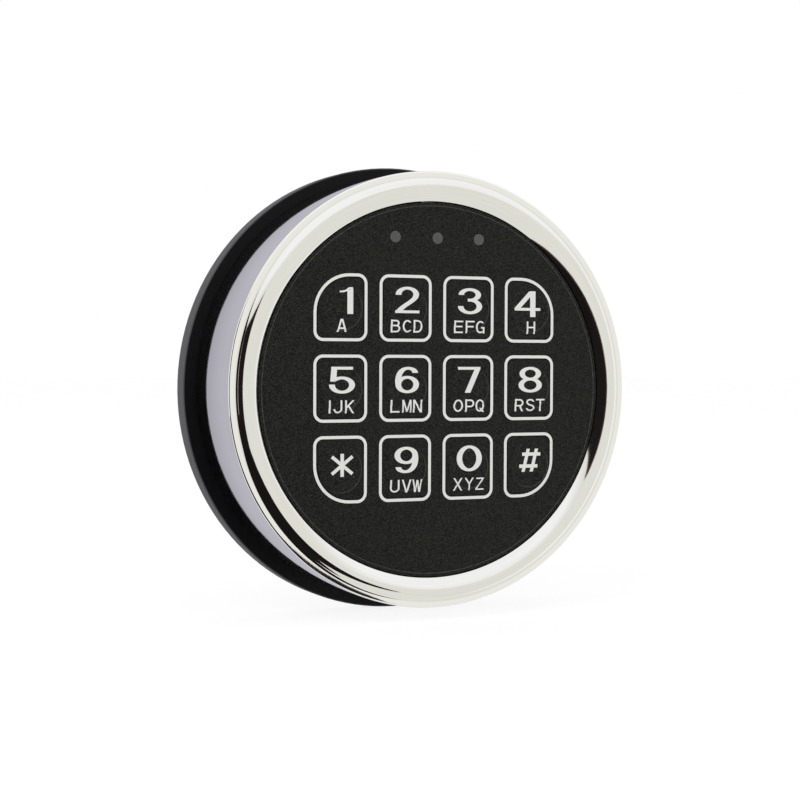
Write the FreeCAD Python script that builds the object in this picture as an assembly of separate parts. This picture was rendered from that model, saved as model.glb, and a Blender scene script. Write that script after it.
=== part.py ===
import FreeCAD, Part
import math
import os

os.makedirs("parts", exist_ok=True)
Vector = FreeCAD.Vector

# Round keypad unit of an electronic safe lock, as it sits on a safe door.
# X is to the right and Z is up, seen from the front. A depth is a distance
# forward from the door's surface, so a depth of d lies at Y = -d.

# Mounting base, the black flange against the door
BASE_MARGIN = 3.0
BASE_FLOOR = 2.4
BASE_EDGE_CHAMFER = 0.35
MOUNT_HOLE_SPACING = 41.3
MOUNT_HOLE_RADIUS = 2.3
MOUNT_HEAD_RADIUS = 4.1
CABLE_HOLE_RADIUS = 4.0
CABLE_HOLE_X = 24.0

# Posts that carry the keypad through the drive disc
POST_RADIUS = 3.2
POST_INSET = 8.0
POST_SPREAD_DEG = 20.0
HOUSING_SCREW_RADIUS = 1.45
HOUSING_SCREW_LENGTH = 5.2
HOUSING_SCREW_HEAD_RADIUS = 2.6
HOUSING_SCREW_HEAD_HEIGHT = 1.8

# Knob ring, cast in zinc and chromed
RING_WALL = 3.35
RING_CLEARANCE = 0.3
RING_EDGE_ROUND = 0.4
LIP_THICKNESS = 2.35
LIP_SLOPE_DROP = 1.0
BEAD_WIDTH = 5.5
BEAD_HEIGHT = 1.5
BEAD_CREST_INSET = 3.2
BEAD_CREST_ROUND = 2.05
BEAD_CREST_SLOPE_DEG = 20.0
BEAD_FOOT_ROUND = 1.2
BEAD_FOOT_SLOPE_DEG = 36.0
SHOULDER_WIDTH = 1.3
SHOULDER_HEIGHT = 0.65
RING_TURN_DEG = 90.0

# Ribs inside the ring that take the drive disc's screws
RIB_COUNT = 3
RIB_RADIUS = 2.3
RIB_INSET = 2.65
DRIVE_SCREW_RADIUS = 1.0
DRIVE_SCREW_HEAD_RADIUS = 2.0
DRIVE_SCREW_HEAD_HEIGHT = 1.1
DRIVE_SCREW_LENGTH = 8.0

# Drive disc, which turns the spindle
DISC_THICKNESS = 2.3
THRUST_GAP = 0.3
WASHER_THICKNESS = 0.25
WASHER_WIDTH = 4.7
HUB_RADIUS = 9.0
HUB_RUNNING_FIT = 0.05
HUB_NOSE_RADIUS = 8.0
HUB_NOSE_HEIGHT = 1.5
SPINDLE_RADIUS = 4.05
SPINDLE_DEPTH = 5.4
KEYWAY_WIDTH = 2.4
KEYWAY_DEPTH = 1.3
HUB_WEB = 10.0
SLOT_CORNER = 2.0
SLOT_PLAY = 0.5

# Keypad housing, the round cup behind the face
PART_PLAY = 0.3
HOUSING_FLOOR = 1.4
HOUSING_WALL = 1.4
CRADLE_WALL = 1.2
CRADLE_HEIGHT = 7.5
SNAP_ARC_WIDTH = 9.0
SNAP_HEIGHT = 1.6
SNAP_REACH = 0.8
SNAP_DROP = 4.2

# Block battery of nine volts with its snap connector
BATTERY_WIDTH = 26.5
BATTERY_THICKNESS = 17.0
BATTERY_LENGTH = 46.4
BATTERY_EDGE = 2.0
BATTERY_PLAY = 0.1
TERMINAL_SPACING = 12.7
TERMINAL_HEIGHT = 2.1
PLUS_TERMINAL_RADIUS = 2.8
MINUS_TERMINAL_RADIUS = 3.9
SNAP_CAP_WIDTH = 25.0
SNAP_CAP_DEPTH = 12.0
SNAP_CAP_HEIGHT = 3.6
LEAD_RADIUS = 0.6
LEAD_RUN = 1.2
LEAD_BEND = 1.5

# Circuit board and what is on it
BOARD_THICKNESS = 1.0
BOARD_PLAY = 0.3
PART_SPACE = 0.5
SWITCH_RADIUS = 3.0
SWITCH_RIM = 0.2
SWITCH_HEIGHT = 0.55
SWITCH_BUTTON_RADIUS = 1.3
BUZZER_RADIUS = 6.0
BUZZER_HEIGHT = 5.5
BUZZER_PORT_RADIUS = 1.2
CAPACITOR_RADIUS = 3.1
CAPACITOR_HEIGHT = 7.0
CHIP_SIZE = 9.0
CHIP_HEIGHT = 1.4
SOCKET_WIDTH = 12.0
SOCKET_DEPTH = 5.8
SOCKET_HEIGHT = 6.0
SOCKET_WALL = 0.8
PIN_SIZE = 0.6
PIN_COUNT = 4
PIN_PITCH = 2.5
LED_WIDTH = 1.6
LED_LENGTH = 0.8
LED_HEIGHT = 0.6

# Face panel, with the printed film bonded into its recess
PANEL_THICKNESS = 1.05
PANEL_LIFT = 0.6
PANEL_RIM = 0.7
FACE_MARGIN = 5.764
SKIRT_WALL = 1.3
SKIRT_DEPTH = 6.0
STAKE_RADIUS = 1.0
STAKE_HEAD_RADIUS = 1.8
STAKE_HEAD_HEIGHT = 0.5
FILM_THICKNESS = 0.3
FILM_PLAY = 0.05
WINDOW_RADIUS = 1.3
WINDOW_PITCH = 10.6
WINDOW_RISE = 8.57

# Keys: the printed outline round each, and the field inside it that is pressed.
# The field and the windows sit a little to the right of and above the ring's axis.
FIELD_SHIFT_X = 0.5
FIELD_SHIFT_Z = 0.43
KEY_PITCH_X = 16.0
KEY_PITCH_Z = 18.2
KEY_STRIP = 3.0
KEY_CORNER = 2.3
KEY_OUTER_CORNER = 8.75
KEY_LINE = 0.8
KEY_PRINT = 0.04
KEY_GAP = 0.15
KEY_TRAVEL_GAP = 0.4
KEY_PLUNGER_RADIUS = 2.4
KEY_PLUNGER_HEIGHT = 0.15
KEY_DOME_HEIGHT = 0.2
KEY_DOME_SLOPE = 0.35
KEY_DOME_MARGIN = 0.15

KEY_ROWS = [
    ["key_1", "key_2", "key_3", "key_4"],
    ["key_5", "key_6", "key_7", "key_8"],
    ["key_star", "key_9", "key_0", "key_hash"],
]

# Depths of the layers, each from the one behind it
disc_rear = BASE_FLOOR + THRUST_GAP
disc_front = disc_rear + DISC_THICKNESS
base_height = disc_front - RING_CLEARANCE
housing_rear = disc_front + PART_PLAY
housing_floor_front = housing_rear + HOUSING_FLOOR
battery_rear = housing_floor_front + BATTERY_PLAY
battery_front = battery_rear + BATTERY_THICKNESS
board_rear = battery_front + BATTERY_PLAY + STAKE_HEAD_HEIGHT
board_front = board_rear + BOARD_THICKNESS
switch_front = board_front + SWITCH_HEIGHT
panel_rear = board_front + PANEL_LIFT
film_rear = panel_rear + PANEL_THICKNESS
face_depth = film_rear + FILM_THICKNESS

# Key field: the reach of its rounded corners from the middle of the face
key_width = KEY_PITCH_X - KEY_STRIP
key_height = KEY_PITCH_Z - KEY_STRIP
field_half_width = (len(KEY_ROWS[0]) * KEY_PITCH_X - KEY_STRIP) / 2
field_half_height = (len(KEY_ROWS) * KEY_PITCH_Z - KEY_STRIP) / 2
field_reach = KEY_OUTER_CORNER + math.hypot(
    field_half_width - KEY_OUTER_CORNER, field_half_height - KEY_OUTER_CORNER
)
window_z = FIELD_SHIFT_Z + field_half_height + WINDOW_RISE

# Radii of the face and the ring round it, from the key field outward
film_radius = field_reach + FACE_MARGIN
panel_radius = film_radius + FILM_PLAY + PANEL_RIM
lip_radius = panel_radius + PART_PLAY
crest_radius = lip_radius + BEAD_CREST_INSET
shoulder_radius = lip_radius + BEAD_WIDTH
ring_radius = shoulder_radius + SHOULDER_WIDTH
base_radius = ring_radius + BASE_MARGIN

# Radii inside the ring, each from the one outside it
ring_bore = ring_radius - RING_WALL
rib_circle = ring_bore - RIB_INSET
disc_radius = ring_bore - PART_PLAY - FILM_PLAY
washer_bore = HUB_RADIUS + PART_PLAY
washer_radius = washer_bore + WASHER_WIDTH
base_pocket_radius = ring_bore
housing_radius = rib_circle - RIB_RADIUS - PART_PLAY
housing_bore = housing_radius - HOUSING_WALL
skirt_radius = housing_bore - FILM_PLAY
board_radius = skirt_radius - SKIRT_WALL - BOARD_PLAY
post_circle = housing_bore - POST_INSET
slot_inner_radius = HUB_RADIUS + HUB_WEB
slot_outer_radius = post_circle + POST_RADIUS + SLOT_PLAY

# Places of the battery, and of the parts beside it on the board
battery_bottom_z = -(BATTERY_LENGTH + SNAP_CAP_HEIGHT) / 2
stake_x = KEY_PITCH_X
stake_z = KEY_PITCH_Z / 2
board_side_x = stake_x + STAKE_HEAD_RADIUS + PART_SPACE


def polar(radius, angle_deg, depth=0.0):
    """Point at a radius and an angle from +X towards +Z, seen from the front."""
    angle = math.radians(angle_deg)
    return Vector(radius * math.cos(angle), -depth, radius * math.sin(angle))


def disc(radius, rear, front, x=0.0, z=0.0):
    """Round plate between two depths."""
    return Part.makeCylinder(radius, front - rear, Vector(x, -rear, z), Vector(0, -1, 0))


def cone(rear_radius, front_radius, rear, front, x=0.0, z=0.0):
    """Tapered round plate between two depths."""
    return Part.makeCone(
        rear_radius, front_radius, front - rear, Vector(x, -rear, z), Vector(0, -1, 0)
    )


def block(x, z, width, height, rear, front):
    """Box centred on x and z between two depths."""
    corner = Vector(x - width / 2, -front, z - height / 2)
    return Part.makeBox(width, front - rear, height, corner)


def tube(outer, inner, rear, front, x=0.0, z=0.0):
    """Round sleeve between two depths."""
    return disc(outer, rear, front, x, z).cut(disc(inner, rear, front, x, z))


def turned(edges):
    """Solid of revolution about the Y axis from edges in the XY plane."""
    face = Part.Face(Part.Wire(edges))
    return face.revolve(Vector(0, 0, 0), Vector(0, 1, 0), 360)


def profile_point(radius, depth):
    """Point of a turned profile."""
    return Vector(radius, -depth, 0)


def lines(points):
    """Straight edges from each point to the next."""
    return [Part.makeLine(start, end) for start, end in zip(points, points[1:])]


def tangent_arc(start, way, end):
    """Arc between two points that leaves the first one along a unit vector."""
    chord = end - start
    chord_way = Vector(chord).normalize()
    middle_way = (chord_way + way).normalize()
    middle_reach = chord.Length / 2 / middle_way.dot(chord_way)
    return Part.Arc(start, start + middle_way * middle_reach, end).toShape()


def rounded_plate(x, z, width, height, radii, rear, front):
    """Rectangle with its own radius at each corner, between two depths.

    The radii go top left, top right, bottom right, bottom left.
    """
    left = x - width / 2
    right = x + width / 2
    bottom = z - height / 2
    top = z + height / 2
    corners = [
        (left, top, 180, radii[0]),
        (right, top, 90, radii[1]),
        (right, bottom, 0, radii[2]),
        (left, bottom, -90, radii[3]),
    ]
    edges = []
    ends = []
    for corner_x, corner_z, start_deg, radius in corners:
        centre_x = corner_x + (radius if corner_x == left else -radius)
        centre_z = corner_z + (radius if corner_z == bottom else -radius)
        arc_points = []
        for turn in (0, 45, 90):
            angle = math.radians(start_deg - turn)
            arc_points.append(Vector(
                centre_x + radius * math.cos(angle), -rear, centre_z + radius * math.sin(angle)
            ))
        edges.append(Part.Arc(*arc_points).toShape())
        ends.append((arc_points[0], arc_points[-1]))
    joined = []
    for index, arc in enumerate(edges):
        joined.append(arc)
        joined.append(Part.makeLine(ends[index][1], ends[(index + 1) % 4][0]))
    face = Part.Face(Part.Wire(joined))
    return face.extrude(Vector(0, rear - front, 0))


def key_place(name):
    """Centre of a key on the face."""
    for row, names in enumerate(KEY_ROWS):
        if name in names:
            column = names.index(name)
            x = FIELD_SHIFT_X + (column - (len(names) - 1) / 2) * KEY_PITCH_X
            z = FIELD_SHIFT_Z + ((len(KEY_ROWS) - 1) / 2 - row) * KEY_PITCH_Z
            return x, z
    raise ValueError(name)


def key_names():
    """Names of all keys, row by row."""
    return [name for row in KEY_ROWS for name in row]


def key_shape(name, inset, rear, front):
    """Plate with a key's outline, moved inward by the inset."""
    x, z = key_place(name)
    small = KEY_CORNER - inset
    large = KEY_OUTER_CORNER - inset
    outer_corners = [
        name == KEY_ROWS[0][0],
        name == KEY_ROWS[0][-1],
        name == KEY_ROWS[-1][-1],
        name == KEY_ROWS[-1][0],
    ]
    radii = [large if is_outer else small for is_outer in outer_corners]
    width = key_width - 2 * inset
    height = key_height - 2 * inset
    return rounded_plate(x, z, width, height, radii, rear, front)


def window_places():
    """Centres of the three light windows."""
    return [(FIELD_SHIFT_X + offset * WINDOW_PITCH, window_z) for offset in (-1, 0, 1)]


def stake_places():
    """Centres of the stakes, where the strips between the keys cross."""
    return [
        (side * stake_x, level * stake_z) for side in (-1, 1) for level in (-1, 1)
    ]


def post_angles():
    """Angles of the four posts, in pairs at the right and the left."""
    return [side + lean * POST_SPREAD_DEG for side in (0, 180) for lean in (-1, 1)]


def rib_angles():
    """Angles of the ring's ribs, the first at the top."""
    return [90 + index * 360 / RIB_COUNT for index in range(RIB_COUNT)]


def mounting_base():
    """Flange with a pocket for the drive disc, posts, and holes for screws and cable."""
    flange = disc(base_radius, 0, base_height)
    front_edge = [
        edge for edge in flange.Edges
        if abs(edge.BoundBox.YMin + base_height) < 1e-6 and edge.BoundBox.YLength < 1e-6
    ]
    flange = flange.makeChamfer(BASE_EDGE_CHAMFER, front_edge)
    flange = flange.cut(disc(base_pocket_radius, BASE_FLOOR, base_height))
    for angle in post_angles():
        place = polar(post_circle, angle)
        flange = flange.fuse(disc(POST_RADIUS, BASE_FLOOR, housing_rear, place.x, place.z))
    cuts = [disc(HUB_RADIUS + HUB_RUNNING_FIT, 0, BASE_FLOOR)]
    cuts.append(disc(CABLE_HOLE_RADIUS, 0, BASE_FLOOR, CABLE_HOLE_X))
    for z in (-MOUNT_HOLE_SPACING / 2, MOUNT_HOLE_SPACING / 2):
        sink = MOUNT_HEAD_RADIUS - MOUNT_HOLE_RADIUS
        cuts.append(disc(MOUNT_HOLE_RADIUS, 0, BASE_FLOOR, 0, z))
        cuts.append(cone(MOUNT_HOLE_RADIUS, MOUNT_HEAD_RADIUS, BASE_FLOOR - sink, BASE_FLOOR, 0, z))
    pilot_rear = housing_floor_front - HOUSING_SCREW_LENGTH - PART_PLAY
    for angle in post_angles():
        place = polar(post_circle, angle)
        cuts.append(disc(HOUSING_SCREW_RADIUS, pilot_rear, housing_rear, place.x, place.z))
    return flange.cut(cuts)


def thrust_washer():
    """Slippery washer between the base and the drive disc."""
    return tube(washer_radius, washer_bore, BASE_FLOOR, BASE_FLOOR + WASHER_THICKNESS)


def bead_edges(shoulder_depth):
    """Edges of the ring's bead: foot, outer flank, crest and the flank down to the lip."""
    crest_lean = math.radians(BEAD_CREST_SLOPE_DEG)
    foot_lean = math.radians(BEAD_FOOT_SLOPE_DEG)
    crest_depth = face_depth + BEAD_HEIGHT
    crest_half = BEAD_CREST_ROUND * math.sin(crest_lean)
    crest_end_depth = crest_depth - BEAD_CREST_ROUND * (1 - math.cos(crest_lean))
    foot_width = BEAD_FOOT_ROUND * math.sin(foot_lean)
    foot_depth = shoulder_depth + BEAD_FOOT_ROUND * (1 - math.cos(foot_lean))
    shoulder_inner = profile_point(shoulder_radius, shoulder_depth)
    foot = profile_point(shoulder_radius - foot_width, foot_depth)
    crest_outer = profile_point(crest_radius + crest_half, crest_end_depth)
    crest = profile_point(crest_radius, crest_depth)
    crest_inner = profile_point(crest_radius - crest_half, crest_end_depth)
    lip_front = profile_point(lip_radius, face_depth)
    outward = Vector(math.cos(crest_lean), math.sin(crest_lean), 0)
    inward = Vector(-math.cos(crest_lean), math.sin(crest_lean), 0)
    return [
        tangent_arc(shoulder_inner, Vector(-1, 0, 0), foot),
        tangent_arc(crest_outer, outward, foot),
        Part.Arc(crest_outer, crest, crest_inner).toShape(),
        tangent_arc(crest_inner, inward, lip_front),
    ]


def ring_profile():
    """Turned profile of the knob ring: wall, shoulder, rounded bead and inner lip."""
    shoulder_depth = face_depth + SHOULDER_HEIGHT
    round_leg = RING_EDGE_ROUND * math.sqrt(0.5)
    wall_rear = profile_point(ring_radius, disc_front)
    wall_front = profile_point(ring_radius, shoulder_depth - RING_EDGE_ROUND)
    round_middle = profile_point(
        ring_radius - RING_EDGE_ROUND + round_leg, shoulder_depth - RING_EDGE_ROUND + round_leg
    )
    shoulder_outer = profile_point(ring_radius - RING_EDGE_ROUND, shoulder_depth)
    shoulder_inner = profile_point(shoulder_radius, shoulder_depth)
    lip_front = profile_point(lip_radius, face_depth)
    lip_rear = profile_point(lip_radius, face_depth - LIP_THICKNESS)
    bore_front = profile_point(ring_bore, face_depth - LIP_THICKNESS - LIP_SLOPE_DROP)
    bore_rear = profile_point(ring_bore, disc_front)
    edges = lines([wall_rear, wall_front])
    edges.append(Part.Arc(wall_front, round_middle, shoulder_outer).toShape())
    edges += lines([shoulder_outer, shoulder_inner])
    edges += bead_edges(shoulder_depth)
    edges += lines([lip_front, lip_rear, bore_front, bore_rear, wall_rear])
    return edges


def knob_ring():
    """Chromed ring that the hand turns, with ribs for the drive disc's screws."""
    ring = turned(ring_profile())
    rib_front = face_depth - LIP_THICKNESS - LIP_SLOPE_DROP
    reach = ring_bore + RING_WALL / 2 - rib_circle
    for angle in rib_angles():
        place = polar(rib_circle, 90)
        boss = disc(RIB_RADIUS, disc_front, rib_front, place.x, place.z)
        web = block(0, rib_circle + reach / 2, 2 * RIB_RADIUS, reach, disc_front, rib_front)
        rib = boss.fuse(web)
        pilot = disc(
            DRIVE_SCREW_RADIUS, disc_front, disc_rear + DRIVE_SCREW_LENGTH + PART_PLAY,
            place.x, place.z,
        )
        rib.rotate(Vector(0, 0, 0), Vector(0, -1, 0), angle - 90)
        pilot.rotate(Vector(0, 0, 0), Vector(0, -1, 0), angle - 90)
        ring = ring.fuse(rib).cut(pilot)
    return ring.removeSplitter()


def arc_slot():
    """Slot at the right of the drive disc, long enough for the posts over the whole turn."""
    side_play = math.degrees(math.asin((POST_RADIUS + SLOT_PLAY) / post_circle))
    start = -POST_SPREAD_DEG - side_play
    end = POST_SPREAD_DEG + RING_TURN_DEG + side_play
    middle = (start + end) / 2
    inner = slot_inner_radius
    outer = slot_outer_radius
    rear = disc_rear
    edges = [
        Part.Arc(
            polar(outer, start, rear), polar(outer, middle, rear), polar(outer, end, rear)
        ).toShape(),
        Part.makeLine(polar(outer, end, rear), polar(inner, end, rear)),
        Part.Arc(
            polar(inner, end, rear), polar(inner, middle, rear), polar(inner, start, rear)
        ).toShape(),
        Part.makeLine(polar(inner, start, rear), polar(outer, start, rear)),
    ]
    slot = Part.Face(Part.Wire(edges)).extrude(Vector(0, rear - disc_front, 0))
    upright = [edge for edge in slot.Edges if abs(edge.BoundBox.YLength - DISC_THICKNESS) < 1e-6
               and edge.BoundBox.XLength < 1e-6]
    return slot.makeFillet(SLOT_CORNER, upright)


def drive_disc():
    """Disc that carries the ring's turn to the spindle through a keyed hub."""
    hub_front = disc_front + HUB_NOSE_HEIGHT
    body = disc(disc_radius, disc_rear, disc_front)
    body = body.fuse(disc(HUB_RADIUS, THRUST_GAP, disc_rear))
    body = body.fuse(disc(HUB_NOSE_RADIUS, disc_front, hub_front))
    slot = arc_slot()
    other = slot.copy()
    other.rotate(Vector(0, 0, 0), Vector(0, 1, 0), 180)
    spindle_end = THRUST_GAP + SPINDLE_DEPTH
    keyway_height = SPINDLE_RADIUS + KEYWAY_DEPTH
    keyway = block(0, keyway_height / 2, KEYWAY_WIDTH, keyway_height, THRUST_GAP, spindle_end)
    cuts = [slot, other, disc(SPINDLE_RADIUS, THRUST_GAP, spindle_end), keyway]
    for angle in rib_angles():
        place = polar(rib_circle, angle)
        cuts.append(disc(DRIVE_SCREW_RADIUS, disc_rear, disc_front, place.x, place.z))
        cuts.append(cone(
            DRIVE_SCREW_HEAD_RADIUS, DRIVE_SCREW_RADIUS,
            disc_rear, disc_rear + DRIVE_SCREW_HEAD_HEIGHT, place.x, place.z,
        ))
    return body.cut(cuts).removeSplitter()


def cross_recess(x, z, reach, rear, front):
    """Cross for a screwdriver."""
    bar = reach / 3
    return block(x, z, reach, bar, rear, front).fuse(block(x, z, bar, reach, rear, front))


def drive_screws():
    """Countersunk screws through the drive disc into the ring's ribs."""
    screws = []
    head_front = disc_rear + DRIVE_SCREW_HEAD_HEIGHT
    for angle in rib_angles():
        place = polar(rib_circle, angle)
        head = cone(
            DRIVE_SCREW_HEAD_RADIUS, DRIVE_SCREW_RADIUS, disc_rear, head_front, place.x, place.z
        )
        shank = disc(
            DRIVE_SCREW_RADIUS, head_front, disc_rear + DRIVE_SCREW_LENGTH, place.x, place.z
        )
        recess = cross_recess(
            place.x, place.z, 2 * DRIVE_SCREW_RADIUS,
            disc_rear, disc_rear + DRIVE_SCREW_HEAD_HEIGHT / 2,
        )
        screws.append(head.fuse(shank).cut(recess).removeSplitter())
    return Part.makeCompound(screws)


def snap_angles():
    """Angles of the three snap hooks that hold the face panel."""
    return [30, 150, 270]


def battery_cradle():
    """Low walls on the housing's floor that keep the battery from sliding."""
    front = housing_floor_front + CRADLE_HEIGHT
    side_x = BATTERY_WIDTH / 2 + BATTERY_PLAY + CRADLE_WALL / 2
    side_length = BATTERY_LENGTH * 0.75
    side_z = battery_bottom_z + side_length / 2
    end_z = battery_bottom_z - BATTERY_PLAY - CRADLE_WALL / 2
    rear = housing_rear
    walls = block(-side_x, side_z, CRADLE_WALL, side_length, rear, front)
    walls = walls.fuse(block(side_x, side_z, CRADLE_WALL, side_length, rear, front))
    return walls.fuse(block(0, end_z, BATTERY_WIDTH, CRADLE_WALL, rear, front))


def keypad_housing():
    """Cup that stands on the posts and holds the battery and the face panel."""
    cup = disc(housing_radius, housing_rear, panel_rear)
    cup = cup.cut(disc(housing_bore, housing_floor_front, panel_rear))
    cup = cup.fuse(battery_cradle())
    cuts = [disc(HUB_NOSE_RADIUS + PART_PLAY, housing_rear, housing_floor_front)]
    cuts.append(disc(CABLE_HOLE_RADIUS, housing_rear, housing_floor_front, CABLE_HOLE_X))
    for angle in post_angles():
        place = polar(post_circle, angle)
        cuts.append(disc(
            HOUSING_SCREW_RADIUS, housing_rear, housing_floor_front, place.x, place.z
        ))
        cuts.append(disc(
            HOUSING_SCREW_HEAD_RADIUS + PART_PLAY, housing_floor_front,
            housing_floor_front + HOUSING_SCREW_HEAD_HEIGHT + PART_PLAY, place.x, place.z,
        ))
    window_front = panel_rear - SNAP_DROP + PART_PLAY
    window_rear = window_front - SNAP_HEIGHT - 2 * PART_PLAY
    for angle in snap_angles():
        window = block(
            housing_radius, 0, 2 * (HOUSING_WALL + PART_PLAY), SNAP_ARC_WIDTH + 2 * PART_PLAY,
            window_rear, window_front,
        )
        window.rotate(Vector(0, 0, 0), Vector(0, -1, 0), angle)
        cuts.append(window)
    return cup.cut(cuts).removeSplitter()


def housing_screws():
    """Pan head screws through the housing's floor into the posts."""
    screws = []
    head_front = housing_floor_front + HOUSING_SCREW_HEAD_HEIGHT
    for angle in post_angles():
        place = polar(post_circle, angle)
        head = disc(
            HOUSING_SCREW_HEAD_RADIUS, housing_floor_front, head_front, place.x, place.z
        )
        top_edge = [edge for edge in head.Edges
                    if abs(edge.BoundBox.YMin + head_front) < 1e-6
                    and edge.BoundBox.YLength < 1e-6]
        head = head.makeChamfer(HOUSING_SCREW_HEAD_HEIGHT / 3, top_edge)
        shank = disc(
            HOUSING_SCREW_RADIUS, housing_floor_front - HOUSING_SCREW_LENGTH,
            housing_floor_front, place.x, place.z,
        )
        recess = cross_recess(
            place.x, place.z, HOUSING_SCREW_HEAD_RADIUS,
            head_front - HOUSING_SCREW_HEAD_HEIGHT / 2, head_front,
        )
        screws.append(head.fuse(shank).cut(recess))
    return Part.makeCompound(screws)


def battery():
    """Block battery with its two snap terminals on the upper end."""
    centre_z = battery_bottom_z + BATTERY_LENGTH / 2
    body = block(0, centre_z, BATTERY_WIDTH, BATTERY_LENGTH, battery_rear, battery_front)
    long_edges = [edge for edge in body.Edges
                  if abs(edge.BoundBox.ZLength - BATTERY_LENGTH) < 1e-6]
    body = body.makeFillet(BATTERY_EDGE, long_edges)
    top = battery_bottom_z + BATTERY_LENGTH
    middle = (battery_rear + battery_front) / 2
    terminals = [(-1, PLUS_TERMINAL_RADIUS), (1, MINUS_TERMINAL_RADIUS)]
    for side, radius in terminals:
        foot = Vector(side * TERMINAL_SPACING / 2, -middle, top)
        body = body.fuse(Part.makeCylinder(radius, TERMINAL_HEIGHT, foot, Vector(0, 0, 1)))
    return body


def battery_snap():
    """Snap connector pressed over the battery's terminals."""
    bottom = battery_bottom_z + BATTERY_LENGTH + BATTERY_PLAY
    middle = (battery_rear + battery_front) / 2
    cap = block(
        0, bottom + SNAP_CAP_HEIGHT / 2, SNAP_CAP_WIDTH, SNAP_CAP_HEIGHT,
        middle - SNAP_CAP_DEPTH / 2, middle + SNAP_CAP_DEPTH / 2,
    )
    corners = [edge for edge in cap.Edges
               if abs(edge.BoundBox.ZLength - SNAP_CAP_HEIGHT) < 1e-6]
    cap = cap.makeFillet(BATTERY_EDGE, corners)
    for side, radius in [(-1, PLUS_TERMINAL_RADIUS), (1, MINUS_TERMINAL_RADIUS)]:
        foot = Vector(side * TERMINAL_SPACING / 2, -middle, bottom)
        cap = cap.cut(Part.makeCylinder(
            radius + BATTERY_PLAY, TERMINAL_HEIGHT, foot, Vector(0, 0, 1)
        ))
    return cap


def battery_leads():
    """Two insulated wires from the snap connector to the back of the board."""
    middle = (battery_rear + battery_front) / 2
    top = battery_bottom_z + BATTERY_LENGTH + BATTERY_PLAY
    start_x = -SNAP_CAP_WIDTH / 2
    leads = []
    for order in (0, 1):
        z = top + SNAP_CAP_HEIGHT / 2
        depth = middle - 2 * LEAD_RADIUS + 4 * LEAD_RADIUS * order
        bend_x = start_x - LEAD_RUN * (2 - order)
        start = Vector(start_x, -depth, z)
        bend_start = Vector(bend_x, -depth, z)
        bend_middle = Vector(
            bend_x - LEAD_BEND * math.sin(math.pi / 4),
            -depth - LEAD_BEND * (1 - math.cos(math.pi / 4)), z,
        )
        bend_end = Vector(bend_x - LEAD_BEND, -depth - LEAD_BEND, z)
        end = Vector(bend_x - LEAD_BEND, -board_rear, z)
        path = Part.Wire([
            Part.makeLine(start, bend_start),
            Part.Arc(bend_start, bend_middle, bend_end).toShape(),
            Part.makeLine(bend_end, end),
        ])
        section = Part.Wire(Part.makeCircle(LEAD_RADIUS, start, Vector(-1, 0, 0)))
        leads.append(path.makePipeShell([section], True, True))
    return Part.makeCompound(leads)


def circuit_board():
    """Round board with a hole for each stake."""
    board = disc(board_radius, board_rear, board_front)
    holes = [
        disc(STAKE_RADIUS + FILM_PLAY, board_rear, board_front, x, z) for x, z in stake_places()
    ]
    return board.cut(holes)


def key_switches():
    """Low domed switches on the board, one under each key."""
    switches = []
    for name in key_names():
        x, z = key_place(name)
        rim_front = board_front + SWITCH_RIM
        rim = disc(SWITCH_RADIUS, board_front, rim_front, x, z)
        dome = cone(SWITCH_RADIUS, SWITCH_BUTTON_RADIUS, rim_front, switch_front, x, z)
        switches.append(rim.fuse(dome))
    return Part.makeCompound(switches)


def indicator_leds():
    """Light emitting diodes behind the windows."""
    lamps = [
        block(x, z, LED_WIDTH, LED_LENGTH, board_front, board_front + LED_HEIGHT)
        for x, z in window_places()
    ]
    return Part.makeCompound(lamps)


def light_windows():
    """Clear rods that carry the light from the diodes to the face."""
    rear = board_front + LED_HEIGHT + FILM_PLAY
    return Part.makeCompound([disc(WINDOW_RADIUS, rear, face_depth, x, z)
                              for x, z in window_places()])


def buzzer():
    """Sounder on the back of the board."""
    x = -board_side_x - BUZZER_RADIUS
    rear = board_rear - BUZZER_HEIGHT
    can = disc(BUZZER_RADIUS, rear, board_rear, x)
    return can.cut(disc(BUZZER_PORT_RADIUS, rear, rear + BUZZER_PORT_RADIUS, x))


def capacitor():
    """Electrolytic capacitor on the back of the board."""
    x = -board_side_x - CAPACITOR_RADIUS
    z = -BUZZER_RADIUS - PART_SPACE - CAPACITOR_RADIUS
    return disc(CAPACITOR_RADIUS, board_rear - CAPACITOR_HEIGHT, board_rear, x, z)


def controller_chip():
    """Controller in its flat package."""
    x = board_side_x + CHIP_SIZE / 2
    z = PART_SPACE + CHIP_SIZE / 2
    chip = block(x, z, CHIP_SIZE, CHIP_SIZE, board_rear - CHIP_HEIGHT, board_rear)
    outer = [edge for edge in chip.Edges
             if abs(edge.BoundBox.YMin + board_rear - CHIP_HEIGHT) < 1e-6
             and edge.BoundBox.YLength < 1e-6]
    return chip.makeChamfer(CHIP_HEIGHT / 4, outer)


def cable_socket():
    """Socket on the back of the board for the cable from the lock."""
    x = board_side_x + SOCKET_WIDTH / 2
    z = -PART_SPACE - SOCKET_DEPTH / 2
    rear = board_rear - SOCKET_HEIGHT
    shell = block(x, z, SOCKET_WIDTH, SOCKET_DEPTH, rear, board_rear)
    shell = shell.cut(block(
        x, z, SOCKET_WIDTH - 2 * SOCKET_WALL, SOCKET_DEPTH - 2 * SOCKET_WALL,
        rear, board_rear - SOCKET_WALL,
    ))
    for index in range(PIN_COUNT):
        pin_x = x + (index - (PIN_COUNT - 1) / 2) * PIN_PITCH
        shell = shell.fuse(block(
            pin_x, z, PIN_SIZE, PIN_SIZE, rear + SOCKET_WALL, board_rear - SOCKET_WALL
        ))
    return shell


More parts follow.
